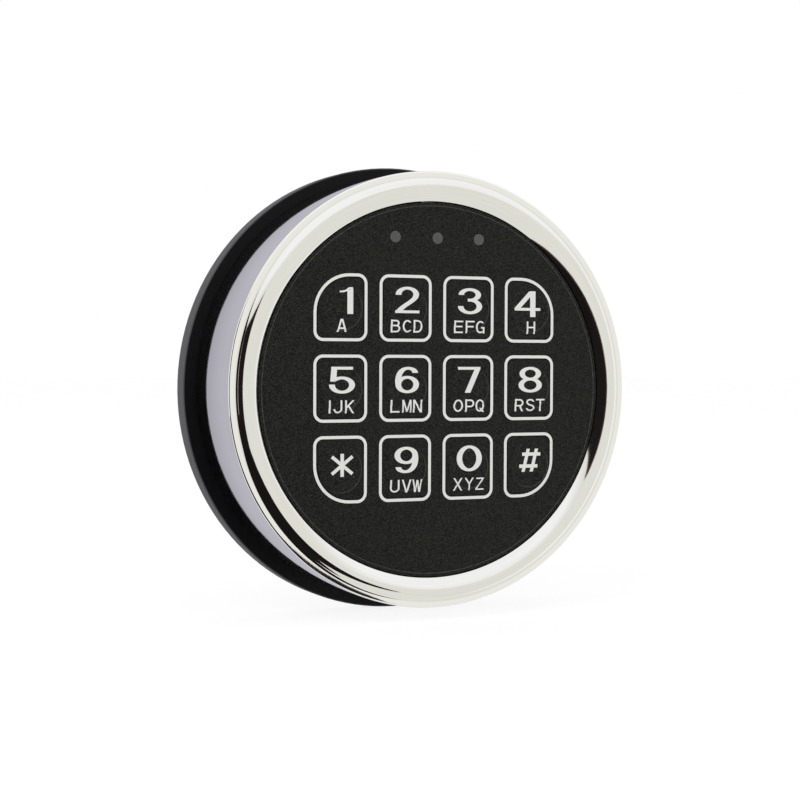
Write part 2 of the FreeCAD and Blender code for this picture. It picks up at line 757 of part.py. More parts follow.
def face_cuts(inset, rear, front):
    """Key and window openings through a layer of the face."""
    cuts = [key_shape(name, inset, rear, front) for name in key_names()]
    for x, z in window_places():
        cuts.append(disc(WINDOW_RADIUS + FILM_PLAY, rear, front, x, z))
    return cuts


def snap_hook():
    """Wedge on the skirt that springs into a window of the housing, at the right."""
    front = panel_rear - SNAP_DROP
    rear = front - SNAP_HEIGHT
    root = skirt_radius - SKIRT_WALL / 2
    tip = skirt_radius + SNAP_REACH
    half = SNAP_ARC_WIDTH / 2
    points = [
        Vector(root, -front, -half), Vector(tip, -front, -half),
        Vector(skirt_radius, -rear, -half), Vector(root, -rear, -half),
    ]
    face = Part.Face(Part.makePolygon(points + points[:1]))
    return face.extrude(Vector(0, 0, SNAP_ARC_WIDTH))


def face_panel():
    """Moulded panel with a recess for the film, a skirt with hooks, and board stakes."""
    panel = disc(panel_radius, panel_rear, face_depth)
    panel = panel.cut(disc(panel_radius - PANEL_RIM, film_rear, face_depth))
    panel = panel.cut(face_cuts(KEY_LINE, panel_rear, film_rear))
    skirt_rear = panel_rear - SKIRT_DEPTH
    panel = panel.fuse(tube(skirt_radius, skirt_radius - SKIRT_WALL, skirt_rear, panel_rear))
    for angle in snap_angles():
        hook = snap_hook()
        hook.rotate(Vector(0, 0, 0), Vector(0, -1, 0), angle)
        panel = panel.fuse(hook)
    head_rear = board_rear - STAKE_HEAD_HEIGHT
    for x, z in stake_places():
        panel = panel.fuse(disc(STAKE_RADIUS, board_rear, panel_rear, x, z))
        panel = panel.fuse(disc(STAKE_HEAD_RADIUS, head_rear, board_rear, x, z))
    return panel.removeSplitter()


def face_film():
    """Printed film over the panel, open where the keys move."""
    film = disc(film_radius, film_rear, face_depth)
    return film.cut(face_cuts(KEY_LINE, film_rear, face_depth))


def key_frames():
    """Printed outline round each key."""
    front = face_depth + KEY_PRINT
    frames = []
    for name in key_names():
        outer = key_shape(name, 0, face_depth, front)
        frames.append(outer.cut(key_shape(name, KEY_LINE, face_depth, front)))
    return Part.makeCompound(frames)


def key(name):
    """Key field with a flat raised dome in front and a plunger over its switch."""
    x, z = key_place(name)
    inset = KEY_LINE + KEY_GAP
    rear = switch_front + KEY_TRAVEL_GAP
    plate_rear = rear + KEY_PLUNGER_HEIGHT
    plate = key_shape(name, inset, plate_rear, face_depth)
    plunger = disc(KEY_PLUNGER_RADIUS, rear, plate_rear, x, z)
    dome_radius = key_width / 2 - inset - KEY_DOME_MARGIN
    dome = cone(
        dome_radius, dome_radius - KEY_DOME_SLOPE,
        face_depth, face_depth + KEY_DOME_HEIGHT, x, z,
    )
    return plate.fuse(plunger).fuse(dome)


def write_part(node, shape):
    """Save one piece under its own name and print its size."""
    shape.exportStep("parts/" + node + ".step")
    solids = len(shape.Solids)
    print(f"{node}: {solids} solid(s), {shape.Volume:.2f} mm3, valid {shape.isValid()}")


PIECES = {
    "mounting_base": mounting_base,
    "thrust_washer": thrust_washer,
    "knob_ring": knob_ring,
    "drive_disc": drive_disc,
    "drive_screws": drive_screws,
    "keypad_housing": keypad_housing,
    "housing_screws": housing_screws,
    "battery": battery,
    "battery_snap": battery_snap,
    "battery_leads": battery_leads,
    "circuit_board": circuit_board,
    "key_switches": key_switches,
    "indicator_leds": indicator_leds,
    "light_windows": light_windows,
    "buzzer": buzzer,
    "capacitor": capacitor,
    "controller_chip": controller_chip,
    "cable_socket": cable_socket,
    "face_panel": face_panel,
    "face_film": face_film,
    "key_frames": key_frames,
}

for node_name, build in PIECES.items():
    write_part(node_name, build())

for key_name in key_names():
    write_part(key_name, key(key_name))

print(f"face plane {face_depth:.2f} mm in front of the door")
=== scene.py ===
import cmath
import math

import bmesh
import bpy
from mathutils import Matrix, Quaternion, Vector


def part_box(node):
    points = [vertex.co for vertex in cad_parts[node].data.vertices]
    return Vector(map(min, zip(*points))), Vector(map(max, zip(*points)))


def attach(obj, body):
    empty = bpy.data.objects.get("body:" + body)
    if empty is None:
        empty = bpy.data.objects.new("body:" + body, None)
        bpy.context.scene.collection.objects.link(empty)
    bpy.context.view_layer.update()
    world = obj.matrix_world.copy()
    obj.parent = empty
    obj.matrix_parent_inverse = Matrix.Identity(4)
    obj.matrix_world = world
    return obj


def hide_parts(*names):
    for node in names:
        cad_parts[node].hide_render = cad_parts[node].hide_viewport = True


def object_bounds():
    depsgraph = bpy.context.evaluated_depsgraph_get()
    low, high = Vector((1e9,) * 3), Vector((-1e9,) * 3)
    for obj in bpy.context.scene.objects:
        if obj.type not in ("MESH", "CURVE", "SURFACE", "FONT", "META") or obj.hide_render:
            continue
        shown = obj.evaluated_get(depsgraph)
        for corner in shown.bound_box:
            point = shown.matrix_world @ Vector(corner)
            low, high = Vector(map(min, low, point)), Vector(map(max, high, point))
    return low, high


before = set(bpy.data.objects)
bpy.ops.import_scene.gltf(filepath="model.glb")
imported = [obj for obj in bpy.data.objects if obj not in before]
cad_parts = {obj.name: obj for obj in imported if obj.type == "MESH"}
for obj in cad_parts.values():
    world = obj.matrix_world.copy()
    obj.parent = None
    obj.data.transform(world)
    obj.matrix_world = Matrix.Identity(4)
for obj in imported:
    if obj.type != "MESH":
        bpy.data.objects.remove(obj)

cad_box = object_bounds()

# Studio. The unit stands on its edge on a pale table with plain white all round. A large soft lamp
# hangs above on the left, a smaller one on the right, and the photographer's dark side of the room
# shows only in the chrome.


class Wire:
    """A socket in a node tree. Sums written with wires add the Math nodes that work them out."""

    def __init__(self, sheet, socket):
        self.sheet = sheet
        self.socket = socket

    def math(self, operation, *others):
        """A Math node with this socket as its first value."""
        return self.sheet.math(operation, self, *others)

    def out(self, name):
        return Wire(self.sheet, self.socket.node.outputs[name])

    def rise(self, low, high):
        """0 below low, 1 above high, smooth between."""
        return self.sheet.add("ShaderNodeMapRange", {"interpolation_type": "SMOOTHSTEP"},
                              {"Value": self, "From Min": low, "From Max": high})

    def band(self, middle, half, soft):
        """1 within half of the middle, 0 outside, with a soft edge."""
        gap = (self - middle).math("ABSOLUTE")
        return 1 - gap.rise(half - soft, half + soft)

    def __add__(self, other):
        return self.math("ADD", other)

    def __radd__(self, other):
        return self.sheet.math("ADD", other, self)

    def __sub__(self, other):
        return self.math("SUBTRACT", other)

    def __rsub__(self, other):
        return self.sheet.math("SUBTRACT", other, self)

    def __mul__(self, other):
        return self.math("MULTIPLY", other)

    def __rmul__(self, other):
        return self.sheet.math("MULTIPLY", other, self)

    def __neg__(self):
        return self.math("MULTIPLY", -1.0)


class Sheet:
    """A node tree written as expressions."""

    def __init__(self, tree):
        self.tree = tree
        tree.nodes.clear()

    def add(self, kind, settings=None, sockets=None, output=0):
        """Add a node: first its settings, then the values or wires of its sockets."""
        node = self.tree.nodes.new(kind)
        for name, value in (settings or {}).items():
            setattr(node, name, value)
        for name, value in (sockets or {}).items():
            if isinstance(value, Wire):
                self.tree.links.new(value.socket, node.inputs[name])
            else:
                node.inputs[name].default_value = value
        return Wire(self, node.outputs[output]) if len(node.outputs) else None

    def math(self, operation, *values):
        return self.add("ShaderNodeMath", {"operation": operation}, dict(enumerate(values)))

    def mix(self, share, first, second):
        """Colour between two, by share."""
        return self.add("ShaderNodeMix", {"data_type": "RGBA"}, {0: share, 6: first, 7: second}, 2)

    def noise(self, place, scale, detail=2.0):
        return self.add("ShaderNodeTexNoise", None,
                        {"Vector": place, "Scale": scale, "Detail": detail}, "Fac")


room = bpy.data.worlds.new("white_studio")
bpy.context.scene.world = room
room.use_nodes = True
air = Sheet(room.node_tree)
heading = air.add("ShaderNodeSeparateXYZ", None,
                  {0: air.add("ShaderNodeTexCoord", output="Generated")})
east = heading
north = heading.out("Y")
up = heading.out("Z")
round_about = east.math("ARCTAN2", -north)
ray = air.add("ShaderNodeLightPath", output="Is Camera Ray")
mirror_ray = ray.out("Is Glossy Ray").math("MAXIMUM", ray.out("Is Transmission Ray"))

# What the chrome sees: a cream room in front, white above and beyond, lavender shade right behind,
# and the dark side with a brown fringe.
WHITE = (1.0, 1.0, 1.0, 1.0)
CREAM = (0.82, 0.82, 0.76, 1.0)
LAVENDER = (0.52, 0.51, 0.57, 1.0)
DARK_SIDE = (0.012, 0.010, 0.010, 1.0)
BROWN_FRINGE = (0.10, 0.05, 0.04, 1.0)
DARK_MIDDLE = math.radians(-34)
DARK_HALF = math.radians(19)
seen_in_metal = air.mix(north.rise(-0.20, 0.0), CREAM, WHITE)
seen_in_metal = air.mix(up.rise(0.34, 0.58), seen_in_metal, WHITE)
seen_in_metal = air.mix(north.rise(0.40, 0.60), seen_in_metal, LAVENDER)
dark_side = round_about.band(DARK_MIDDLE, DARK_HALF, 0.07) * (1 - up.rise(0.30, 0.37))
seen_in_metal = air.mix(dark_side.rise(0.1, 0.4), seen_in_metal, BROWN_FRINGE)
seen_in_metal = air.mix(dark_side.rise(0.5, 0.9), seen_in_metal, DARK_SIDE)
seen = air.mix(mirror_ray, (0.72, 0.72, 0.72, 1.0), seen_in_metal)
seen = air.mix(ray, seen, WHITE)
glow = air.add("ShaderNodeBackground", None, {"Color": seen, "Strength": 1.0})
air.add("ShaderNodeOutputWorld", None, {"Surface": glow})


def soft_lamp(name, place, width, watts):
    """Square soft lamp that faces the unit."""
    data = bpy.data.lights.new(name, "AREA")
    data.size = width
    data.energy = watts
    lamp = bpy.data.objects.new(name, data)
    bpy.context.scene.collection.objects.link(lamp)
    lamp.location = place
    lamp.visible_glossy = False
    lamp.rotation_euler = (-Vector(place)).to_track_quat("-Z", "Y").to_euler()


soft_lamp("soft_lamp_left", (-0.75, -0.55, 0.75), 0.6, 3.2)
soft_lamp("soft_lamp_right", (0.8, -0.7, 0.5), 0.4, 1.2)

# The table top, just under the flange. It keeps the unit's faint shadow and is white to the lens.
TABLE_HALF = 4.0
table_z = cad_box[0][2] - 0.0001
table_mesh = bpy.data.meshes.new("table_top")
table_mesh.from_pydata(
    [(side_x * TABLE_HALF, side_y * TABLE_HALF, table_z)
     for side_x, side_y in ((-1, -1), (1, -1), (1, 1), (-1, 1))],
    [], [(0, 1, 2, 3)])
table_top = bpy.data.objects.new("table_top", table_mesh)
bpy.context.scene.collection.objects.link(table_top)
table_paint = bpy.data.materials.new("pale_table")
table_paint.use_nodes = True
sheet = Sheet(table_paint.node_tree)
place = sheet.add("ShaderNodeTexCoord", output="Object")
pale = sheet.mix(sheet.noise(place, 3.0) * 0.4, (0.90, 0.90, 0.90, 1.0), (0.94, 0.94, 0.94, 1.0))
matt = sheet.add("ShaderNodeBsdfDiffuse", None, {"Color": pale})
lit = sheet.add("ShaderNodeEmission", None, {"Color": WHITE, "Strength": 1.08})
ray = sheet.add("ShaderNodeLightPath", output="Is Camera Ray")
top = sheet.add("ShaderNodeMixShader", None, {0: ray * 0.8, 1: matt, 2: lit})
clear = sheet.add("ShaderNodeBsdfTransparent")
mirror_ray = ray.out("Is Glossy Ray").math("MAXIMUM", ray.out("Is Transmission Ray"))
top = sheet.add("ShaderNodeMixShader", None, {0: mirror_ray, 1: top, 2: clear})
sheet.add("ShaderNodeOutputMaterial", None, {"Surface": top})
table_mesh.materials.append(table_paint)

# Black card on the table in front, at the left. Only the chrome sees it, as dark strips low on the
# ring at the left.
CARD_LEFT, CARD_RIGHT = -0.30, -0.004
CARD_REAR, CARD_FRONT = -0.040, -0.210
card_mesh = bpy.data.meshes.new("black_card")
card_mesh.from_pydata(
    [(CARD_LEFT, CARD_FRONT, table_z), (CARD_RIGHT, CARD_FRONT, table_z),
     (CARD_RIGHT, CARD_REAR, table_z), (CARD_LEFT, CARD_REAR, table_z)], [], [(0, 1, 2, 3)])
black_card = bpy.data.objects.new("black_card", card_mesh)
bpy.context.scene.collection.objects.link(black_card)
card_paint = bpy.data.materials.new("black_card")
card_paint.use_nodes = True
sheet = Sheet(card_paint.node_tree)
place = sheet.add("ShaderNodeTexCoord", output="Object")
dark = sheet.mix(sheet.noise(place, 30.0), (0.004, 0.004, 0.004, 1.0), (0.016, 0.013, 0.012, 1.0))
glow = sheet.add("ShaderNodeEmission", None, {"Color": dark, "Strength": 1.0})
clear = sheet.add("ShaderNodeBsdfTransparent")
glossy_ray = sheet.add("ShaderNodeLightPath", output="Is Glossy Ray")
top = sheet.add("ShaderNodeMixShader", None, {0: glossy_ray, 1: clear, 2: glow})
sheet.add("ShaderNodeOutputMaterial", None, {"Surface": top})
card_mesh.materials.append(card_paint)

# Camera, low and to the left of the unit, at the photograph's distance and lens.
VIEW_AZIMUTH = math.radians(-24.535)
VIEW_ELEVATION = math.radians(1.524)
VIEW_ROLL = math.radians(0.236)
VIEW_DISTANCE = 0.3737
VIEW_AIM = Vector((-0.00884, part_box("face_film")[0].y, -0.00223))
back = Vector((math.sin(VIEW_AZIMUTH) * math.cos(VIEW_ELEVATION),
               -math.cos(VIEW_AZIMUTH) * math.cos(VIEW_ELEVATION),
               math.sin(VIEW_ELEVATION)))
camera_data = bpy.data.cameras.new("camera")
camera_data.lens = 73.97
camera_data.sensor_width = 36.0
camera_data.clip_start = 0.01
camera = bpy.data.objects.new("camera", camera_data)
bpy.context.scene.collection.objects.link(camera)
camera.location = VIEW_AIM + back * VIEW_DISTANCE
turn = (-back).to_track_quat("-Z", "Y") @ Quaternion((0.0, 0.0, 1.0), VIEW_ROLL)
camera.rotation_euler = turn.to_euler()
bpy.context.scene.camera = camera
bpy.context.scene.view_settings.view_transform = "Standard"

# Mounting base. A cast flange in satin black powder coat, screwed to the door. The coat has a fine
# grain, and a highlight is painted along its turned rim as a paler colour where the light would
# catch it.
PAINTED_RIM_HIGHLIGHT_FROM, PAINTED_RIM_HIGHLIGHT_FULL = 0.05262, 0.05290


def coat(name, paint):
    """New material whose main shader's sockets come from paint."""
    material = bpy.data.materials.new(name)
    material.use_nodes = True
    sheet = Sheet(material.node_tree)
    place = sheet.add("ShaderNodeTexCoord", output="Object")
    shader = sheet.add("ShaderNodeBsdfPrincipled", None, paint(sheet, place))
    sheet.add("ShaderNodeOutputMaterial", None, {"Surface": shader})
    return material


def dress(node, material):
    """Give a CAD node a finish in place of its plain one."""
    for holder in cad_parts[node].material_slots:
        holder.material = material


def from_axis(across):
    """Distance from the ring's axis, of the parts of a place."""
    return (across * across + across.out("Z") * across.out("Z")).math("POWER", 0.5)


def powder_coat(sheet, place):
    grain = sheet.noise(place, 2600.0, 3.0)
    fleck = sheet.noise(place, 4200.0).rise(0.66, 0.74)
    cloud = sheet.noise(place, 60.0)
    colour = sheet.mix(cloud, (0.003, 0.003, 0.004, 1.0), (0.007, 0.007, 0.009, 1.0))
    colour = sheet.mix(fleck * 0.4, colour, (0.04, 0.04, 0.05, 1.0))
    across = sheet.add("ShaderNodeSeparateXYZ", None, {0: place})
    off_axis = from_axis(across)
    # Painted highlight: the colour turns paler on the turned rim, standing for the light it catches.
    colour = sheet.mix(off_axis.rise(PAINTED_RIM_HIGHLIGHT_FROM, PAINTED_RIM_HIGHLIGHT_FULL), colour, (0.085, 0.085, 0.088, 1.0))
    bump = sheet.add("ShaderNodeBump", None,
                     {"Height": grain, "Strength": 0.35, "Distance": 0.0001})
    return {"Base Color": colour, "Roughness": 0.30 + grain * 0.2, "Normal": bump,
            "Specular IOR Level": 0.12}


dress("mounting_base", coat("black_powder_coat", powder_coat))

# Thrust washer, drive disc and its screws, behind the ring. The disc is pressure cast in zinc and
# left raw, the washer is moulded in nylon, and the countersunk screws are zinc plated steel.


def raw_zinc(sheet, place):
    flow = sheet.noise(place, 140.0, 5.0)
    pits = sheet.noise(place, 1500.0)
    colour = sheet.mix(flow, (0.42, 0.42, 0.44, 1.0), (0.60, 0.60, 0.62, 1.0))
    bump = sheet.add("ShaderNodeBump", None, {"Height": pits, "Strength": 0.3, "Distance": 0.0002})
    return {"Base Color": colour, "Metallic": 1.0, "Roughness": 0.38 + flow * 0.25, "Normal": bump}


def nylon(sheet, place):
    cloud = sheet.noise(place, 220.0)
    colour = sheet.mix(cloud, (0.78, 0.76, 0.70, 1.0), (0.86, 0.84, 0.79, 1.0))
    return {"Base Color": colour, "Roughness": 0.42 + cloud * 0.1}


def plated_steel(sheet, place):
    swirl = sheet.noise(place, 900.0, 4.0)
    colour = sheet.mix(swirl, (0.56, 0.57, 0.60, 1.0), (0.70, 0.70, 0.71, 1.0))
    return {"Base Color": colour, "Metallic": 1.0, "Roughness": 0.22 + swirl * 0.15}


steel = coat("plated_steel", plated_steel)
dress("drive_disc", coat("raw_zinc", raw_zinc))
dress("thrust_washer", coat("nylon", nylon))
dress("drive_screws", steel)

# Knob ring. Cast in zinc, turned, polished and chromed. A straight wall for the fingers, a narrow
# shoulder, then a rounded bead that falls to the face. Three ribs inside take the disc's screws.
RING_RADIUS = 0.0500
RING_BORE = 0.04665
RING_REAR = 0.0050
FACE_DEPTH = 0.02735
SHOULDER_DEPTH = 0.0280
SHOULDER_RADIUS = 0.0487
EDGE_ROUND = 0.0004
CREST_RADIUS = 0.0464
CREST_DEPTH = 0.02885
CREST_ROUND = 0.00205
CREST_SLOPE = math.radians(20)
FOOT_ROUND = 0.0012
FOOT_SLOPE = math.radians(36)
LIP_RADIUS = 0.0432
LIP_REAR = 0.0250
SLOPE_REAR = 0.0240
RIB_CIRCLE = 0.0440
RIB_RADIUS = 0.0023
RIB_ANGLES = (90, 210, 330)
RING_SEGMENTS = 320
SHARP_ANGLE = math.radians(35)
WALL_SHADE_REAR = 0.004
WALL_SHADE_FRONT = 0.026


def tangent_arc(start, way, end, steps):
    """Points on the arc that leaves start along a way and comes to end, as radius + depth i."""
    chord = end - start
    half_turn = cmath.phase(chord / way)
    shares = [step / steps for step in range(steps + 1)]
    return [start + chord * math.sin(half_turn * share) / math.sin(half_turn)
            * cmath.exp(1j * half_turn * (share - 1)) for share in shares]


def turned(name, outline, segments):
    """Closed mesh of revolution about the Y axis, from a closed outline."""
    points = []
    for index in range(segments):
        angle = 2 * math.pi * index / segments
        points += [(place.real * math.cos(angle), -place.imag, place.real * math.sin(angle))
                   for place in outline]
    count = len(outline)
    faces = []
    for index in range(segments):
        here = index * count
        there = (index + 1) % segments * count
        for step in range(count):
            after = (step + 1) % count
            faces.append((here + step, here + after, there + after, there + step))
    mesh = bpy.data.meshes.new(name)
    mesh.from_pydata(points, [], faces)
    return mesh


def finished(mesh, material):
    """Object of a mesh, smooth but for its sharp edges, faces outward."""
    form = bmesh.new()
    form.from_mesh(mesh)
    bmesh.ops.remove_doubles(form, verts=form.verts, dist=1e-8)
    bmesh.ops.recalc_face_normals(form, faces=form.faces)
    form.to_mesh(mesh)
    form.free()
    mesh.polygons.foreach_set("use_smooth", [True] * len(mesh.polygons))
    mesh.set_sharp_from_angle(angle=SHARP_ANGLE)
    mesh.materials.append(material)
    piece = bpy.data.objects.new(mesh.name, mesh)
    bpy.context.scene.collection.objects.link(piece)
    return piece


foot = complex(SHOULDER_RADIUS - FOOT_ROUND * math.sin(FOOT_SLOPE),
               SHOULDER_DEPTH + FOOT_ROUND * (1 - math.cos(FOOT_SLOPE)))
crest_half = CREST_ROUND * math.sin(CREST_SLOPE)
crest_end_depth = CREST_DEPTH - CREST_ROUND * (1 - math.cos(CREST_SLOPE))
crest_outer = complex(CREST_RADIUS + crest_half, crest_end_depth)
crest_inner = complex(CREST_RADIUS - crest_half, crest_end_depth)
down_outward = cmath.rect(1, -CREST_SLOPE)
down_inward = -down_outward.conjugate()
ring_outline = [complex(RING_BORE, RING_REAR), complex(RING_RADIUS, RING_REAR)]
ring_outline += tangent_arc(complex(RING_RADIUS, SHOULDER_DEPTH - EDGE_ROUND), 1j,
                            complex(RING_RADIUS - EDGE_ROUND, SHOULDER_DEPTH), 8)
ring_outline += tangent_arc(complex(SHOULDER_RADIUS, SHOULDER_DEPTH), -1, foot, 8)
ring_outline += tangent_arc(crest_outer, down_outward, foot, 16)[-2:0:-1]
ring_outline += tangent_arc(crest_outer, -down_outward, crest_inner, 12)
ring_outline += tangent_arc(crest_inner, down_inward, complex(LIP_RADIUS, FACE_DEPTH), 28)[1:]
ring_outline += [complex(LIP_RADIUS, LIP_REAR), complex(RING_BORE, SLOPE_REAR)]
ring_mesh = turned("chromed_knob_ring", ring_outline, RING_SEGMENTS)
ring_form = bmesh.new()
ring_form.from_mesh(ring_mesh)
rib_root = RING_BORE + EDGE_ROUND
for rib_deg in RIB_ANGLES:
    rib_way = cmath.rect(1, math.radians(rib_deg))
    section = [RIB_CIRCLE + cmath.rect(RIB_RADIUS, math.radians(turn))
               for turn in range(90, 271, 10)]
    section = [rib_root + 1j * RIB_RADIUS, *section, rib_root - 1j * RIB_RADIUS]
    rear = [ring_form.verts.new(((p * rib_way).real, -RING_REAR, (p * rib_way).imag))
            for p in section]
    front = [ring_form.verts.new((v.co.x, -SLOPE_REAR, v.co.z)) for v in rear]
    ring_form.faces.new(rear)
    ring_form.faces.new(front[::-1])
    for side in range(len(section)):
        after = (side + 1) % len(section)
        ring_form.faces.new((rear[side], front[side], front[after], rear[after]))
ring_form.to_mesh(ring_mesh)
ring_form.free()


def chrome_plate(sheet, place):
    across = sheet.add("ShaderNodeSeparateXYZ", None, {0: place})
    off_axis = from_axis(across)
    polish = sheet.noise(sheet.add("ShaderNodeCombineXYZ", None, {
        0: off_axis * 7000.0, 1: across * 55.0, 2: across.out("Z") * 55.0}), 1.0)
    wipe = sheet.noise(place, 55.0, 3.0)
    ripple = sheet.noise(place, 240.0)
    streak = polish.rise(0.3, 0.7)
    haze = wipe * 0.5 + streak * 0.5
    colour = sheet.mix(haze, (0.82, 0.82, 0.805, 1.0), (0.92, 0.92, 0.91, 1.0))
    # Painted shade: the wall is coloured a darker grey towards the base, fading out towards its
    # front.
    painted_shade_near_base = 1 - (-across.out("Y")).rise(WALL_SHADE_REAR, WALL_SHADE_FRONT)
    on_wall = off_axis.rise(RING_RADIUS - 0.0003, RING_RADIUS - 0.0001)
    # Painted highlight: the colour of the narrow shoulder is pushed most of the way to white.
    shoulder_highlight = off_axis.rise(SHOULDER_RADIUS - 0.0002, SHOULDER_RADIUS + 0.0001) * (1 - on_wall)
    colour = sheet.mix(shoulder_highlight * 0.8, colour, WHITE)
    colour = sheet.mix(painted_shade_near_base * on_wall * 0.9, colour, (0.50, 0.49, 0.51, 1.0))
    bump = sheet.add("ShaderNodeBump", None,
                     {"Height": ripple, "Strength": 0.02, "Distance": 0.0005})
    return {"Base Color": colour, "Metallic": 1.0, "Roughness": 0.035 + wipe * 0.04,
            "Normal": bump}


chrome = coat("polished_chrome", chrome_plate)
knob_ring = finished(ring_mesh, chrome)
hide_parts("knob_ring")
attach(knob_ring, "ring")

# Keypad housing and its screws. The cup is moulded in black plastic and stands on the base's
# posts. Four pan head screws hold it.


def matt_moulding(sheet, place):
    texture = sheet.noise(place, 1100.0, 4.0)
    colour = sheet.mix(texture, (0.014, 0.014, 0.014, 1.0), (0.026, 0.026, 0.026, 1.0))
    bump = sheet.add("ShaderNodeBump", None,
                     {"Height": texture, "Strength": 0.25, "Distance": 0.0001})
    return {"Base Color": colour, "Roughness": 0.5 + texture * 0.15, "Normal": bump}


moulding = coat("black_moulding", matt_moulding)
dress("keypad_housing", moulding)
dress("housing_screws", steel)

# Battery, its snap connector and the two wires. The block is a lacquered can with a plain copper
# coloured shoulder. The connector is soft black plastic, and one wire is red, the other black.
BATTERY_BAND_Z = 0.0125
WIRES_PARTED = 0.0153


def battery_lacquer(sheet, place):
    across = sheet.add("ShaderNodeSeparateXYZ", None, {0: place})
    height = across.out("Z")
    shoulder = height.rise(BATTERY_BAND_Z, BATTERY_BAND_Z + 0.0002)
    cloud = sheet.noise(place, 90.0)
    black = sheet.mix(cloud, (0.030, 0.030, 0.034, 1.0), (0.050, 0.050, 0.055, 1.0))
    copper = sheet.mix(cloud, (0.50, 0.26, 0.12, 1.0), (0.62, 0.34, 0.17, 1.0))
    return {"Base Color": sheet.mix(shoulder, black, copper), "Metallic": 0.3 + shoulder * 0.6,
            "Roughness": 0.28 + cloud * 0.12}


def soft_plastic(sheet, place):
    grain = sheet.noise(place, 1600.0, 3.0)
    colour = sheet.mix(grain, (0.014, 0.014, 0.015, 1.0), (0.030, 0.030, 0.031, 1.0))
    return {"Base Color": colour, "Roughness": 0.55 + grain * 0.2}


def wire_cover(sheet, place):
    depth = -sheet.add("ShaderNodeSeparateXYZ", None, {0: place}).out("Y")
    front_one = depth.rise(WIRES_PARTED, WIRES_PARTED + 0.0001)
    cloud = sheet.noise(place, 600.0)
    red = sheet.mix(cloud, (0.42, 0.02, 0.02, 1.0), (0.55, 0.03, 0.03, 1.0))
    black = sheet.mix(cloud, (0.016, 0.016, 0.016, 1.0), (0.030, 0.030, 0.030, 1.0))
    return {"Base Color": sheet.mix(front_one, red, black), "Roughness": 0.38 + cloud * 0.1}


soft_black = coat("soft_black_plastic", soft_plastic)
dress("battery", coat("lacquered_can", battery_lacquer))
dress("battery_snap", soft_black)
dress("battery_leads", coat("wire_cover", wire_cover))

# Circuit board and what is soldered to it. Green mask over copper tracks, with switches of sprung
# steel in front, and the sounder, capacitor, controller and cable socket behind.
TRACK_DENSITY = 2600.0
SLEEVE_STRIPE_X = -0.0200


def solder_mask(sheet, place):
    across = sheet.add("ShaderNodeSeparateXYZ", None, {0: place})
    weave = sheet.noise(place, 1300.0)
    wander = sheet.noise(place, 120.0) * 0.006
    lanes = ((across + wander) * TRACK_DENSITY).math("SINE")
    levels = (across.out("Z") * TRACK_DENSITY).math("SINE")
    track = lanes.rise(0.72, 0.8).math("MAXIMUM", levels.rise(0.86, 0.92))
    green = sheet.mix(weave, (0.008, 0.075, 0.026, 1.0), (0.014, 0.105, 0.038, 1.0))
    colour = sheet.mix(track, green, (0.030, 0.200, 0.070, 1.0))
    bump = sheet.add("ShaderNodeBump", None, {"Height": track, "Strength": 0.4,
                                              "Distance": 0.00004})
    return {"Base Color": colour, "Roughness": 0.28 + weave * 0.1, "Normal": bump}


def lamp_body(sheet, place):
    cloud = sheet.noise(place, 900.0)
    colour = sheet.mix(cloud, (0.80, 0.76, 0.52, 1.0), (0.88, 0.85, 0.66, 1.0))
    return {"Base Color": colour, "Roughness": 0.2 + cloud * 0.08}


def sleeve(sheet, place):
    across = sheet.add("ShaderNodeSeparateXYZ", None, {0: place})
    stripe = across.rise(SLEEVE_STRIPE_X, SLEEVE_STRIPE_X + 0.0001)
    cloud = sheet.noise(place, 300.0)
    blue = sheet.mix(cloud, (0.020, 0.024, 0.080, 1.0), (0.030, 0.036, 0.110, 1.0))
    return {"Base Color": sheet.mix(stripe, blue, (0.60, 0.62, 0.66, 1.0)),
            "Roughness": 0.3 + cloud * 0.1}


def socket_plastic(sheet, place):
    cloud = sheet.noise(place, 500.0)
    colour = sheet.mix(cloud, (0.74, 0.72, 0.64, 1.0), (0.82, 0.80, 0.73, 1.0))
    return {"Base Color": colour, "Roughness": 0.4 + cloud * 0.1}


dress("circuit_board", coat("solder_mask", solder_mask))
dress("key_switches", steel)
dress("indicator_leds", coat("lamp_body", lamp_body))
dress("buzzer", soft_black)
dress("capacitor", coat("shrink_sleeve", sleeve))
dress("controller_chip", soft_black)
dress("cable_socket", coat("socket_plastic", socket_plastic))

# Face panel and film. The panel is moulded and the film bonded into its recess is printed black
# over a fine grain, with stray bright grains and a paler cut edge.
FILM_EDGE = 0.04215


def grained_film(sheet, place):
    across = sheet.add("ShaderNodeSeparateXYZ", None, {0: place})
    off_axis = from_axis(across)
    grain = sheet.noise(place, 4600.0, 1.0).rise(0.46, 0.60)
    mottle = sheet.noise(place, 900.0, 2.0)
    stray = sheet.noise(place, 1900.0, 1.0).rise(0.735, 0.80)
    edge = off_axis.band(FILM_EDGE, 0.00010, 0.00004)
    colour = sheet.mix(grain, (0.001, 0.001, 0.001, 1.0), (0.031, 0.032, 0.026, 1.0))
    colour = sheet.mix(mottle.rise(0.4, 0.75) * 0.3, colour, (0.022, 0.022, 0.019, 1.0))
    colour = sheet.mix(stray * 0.7, colour, (0.14, 0.14, 0.13, 1.0))
    colour = sheet.mix(edge * (0.3 + grain * 0.4), colour, (0.14, 0.14, 0.13, 1.0))
    bump = sheet.add("ShaderNodeBump", None,
                     {"Height": grain, "Strength": 0.3, "Distance": 0.00008})
    return {"Base Color": colour, "Roughness": 0.52 + grain * 0.15, "Normal": bump,
            "Specular IOR Level": 0.15}


film = coat("grained_film", grained_film)
dress("face_panel", film)
dress("face_film", film)

# Light windows. Three rods of clear plastic, tinted smoke grey, that carry the light of the lamps on
# the board to the face. Unlit they are faint grey discs.


